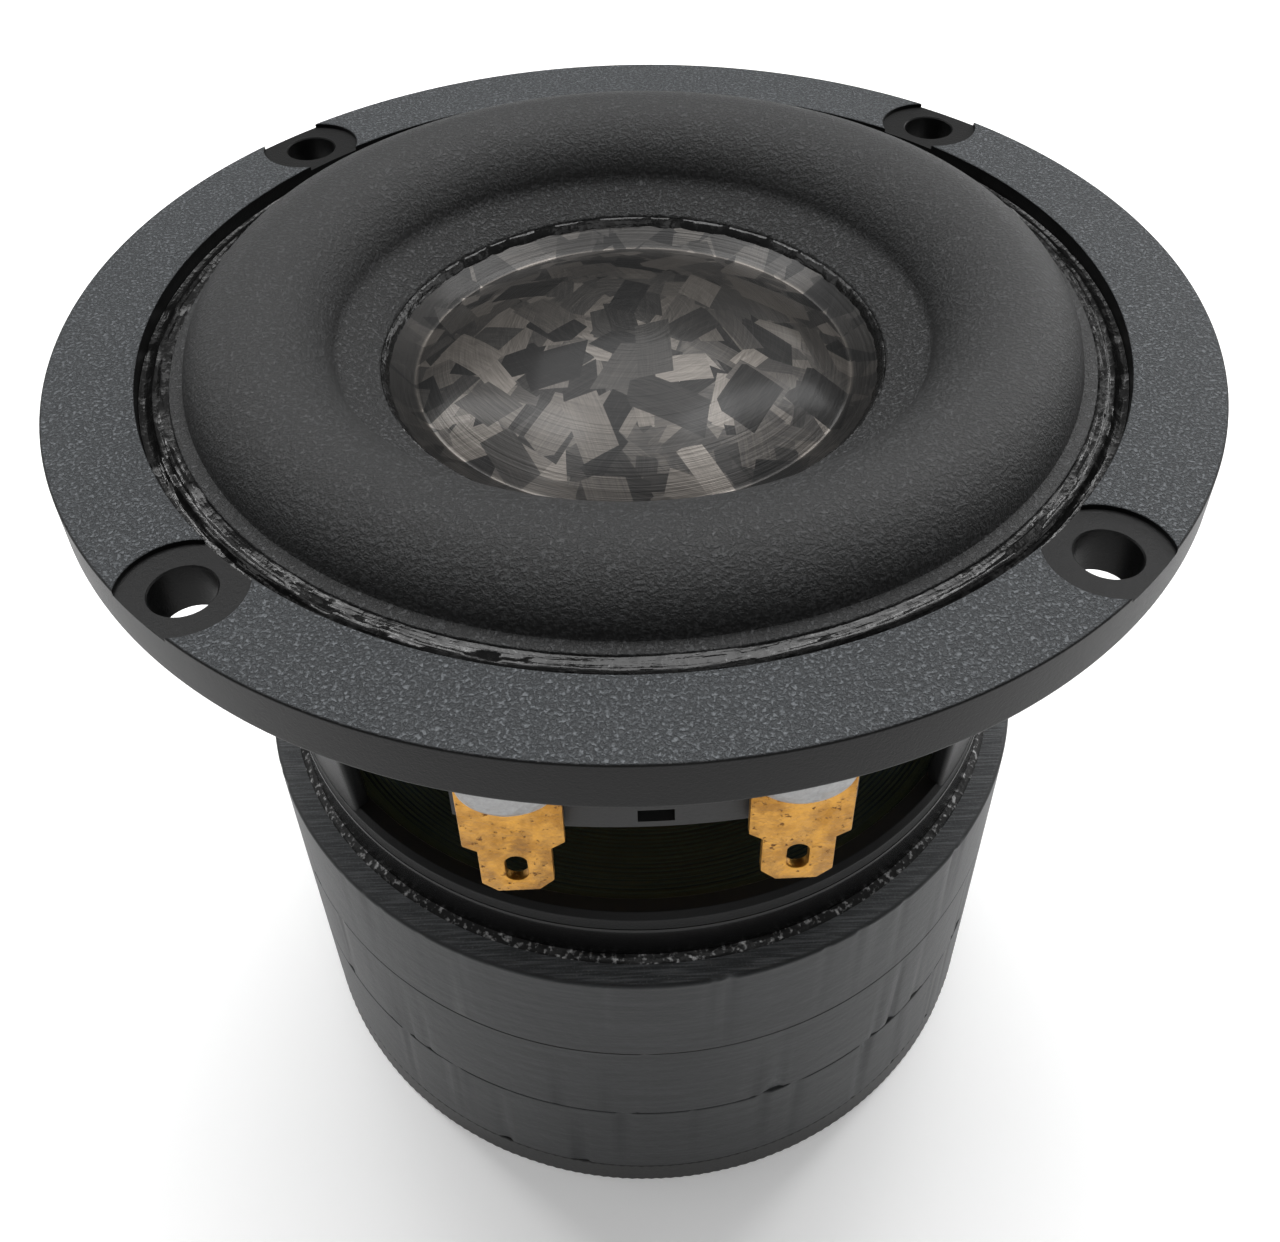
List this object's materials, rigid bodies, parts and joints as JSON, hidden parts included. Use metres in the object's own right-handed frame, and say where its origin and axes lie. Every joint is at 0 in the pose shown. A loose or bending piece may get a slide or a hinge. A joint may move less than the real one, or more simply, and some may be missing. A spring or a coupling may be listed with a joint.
{
  "type": "midrange loudspeaker driver",
  "caption": "Compact car midrange driver: round flanged basket, half-roll surround, domed carbon diaphragm, stacked ferrite motor and flat terminal tabs.",
  "frame": {"origin": "centre of the flange's rear face, on the driver's axis", "axes": "+Z along the axis out of the front, the terminal tabs on the -Y side, +X to the right seen from the terminals"},
  "size_m": [0.093, 0.093, 0.0836],
  "materials": {
    "basket_black": "fine grained moulded black",
    "board_black": "satin dark grey moulded board",
    "gold_plate": "gold plated brass, satin with rolling marks",
    "solder": "bright tin solder",
    "surround_rubber": "matte rubber with a fine speckle",
    "glue_black": "cured black adhesive, glossy",
    "chopped_carbon": "moulded chopped carbon flakes, turned and lacquered",
    "former_film": "amber film",
    "winding_copper": "enamelled copper wire",
    "spider_cloth": "resin dipped cloth",
    "tinsel_braid": "braided tinsel wire",
    "plated_steel": "dark plated steel with lathe marks",
    "glue_silver": "thin bead of cured adhesive",
    "magnet_paint": "black paint on ferrite with chips",
    "glue_line": "thin cured adhesive",
    "yoke_steel": "black plated steel"
  },
  "bodies": {
    "basket_and_motor": {"frame": "basket_black", "terminal_board": "board_black", "terminal_tab_positive": "gold_plate", "terminal_tab_negative": "gold_plate", "terminal_rivets": "gold_plate", "terminal_solder": "solder", "surround": "surround_rubber", "surround_glue_bead": "glue_black", "spider": "spider_cloth", "spider_glue_bead": "glue_black", "tinsel_lead_positive": "tinsel_braid", "tinsel_lead_negative": "tinsel_braid", "top_plate": "plated_steel", "plate_glue_bead": "glue_silver", "magnet_front": "magnet_paint", "magnet_middle": "magnet_paint", "magnet_rear": "magnet_paint", "motor_glue_lines": "glue_line", "back_yoke": "yoke_steel"},
    "diaphragm": {"cone": "chopped_carbon", "cone_glue_bead": "glue_black", "voice_coil_former": "former_film", "former_collar": "glue_black", "voice_coil_winding": "winding_copper", "lead_anchors": "glue_black"}
  },
  "joints": [
    {"name": "cone_excursion", "type": "slide", "parent": "basket_and_motor", "child": "diaphragm", "axis": [0, 0, 1], "range_m": [-0.003, 0.003], "stiffness_N_per_m": 1000, "deforming": ["surround", "spider", "tinsel_lead_positive", "tinsel_lead_negative"]}
  ]
}
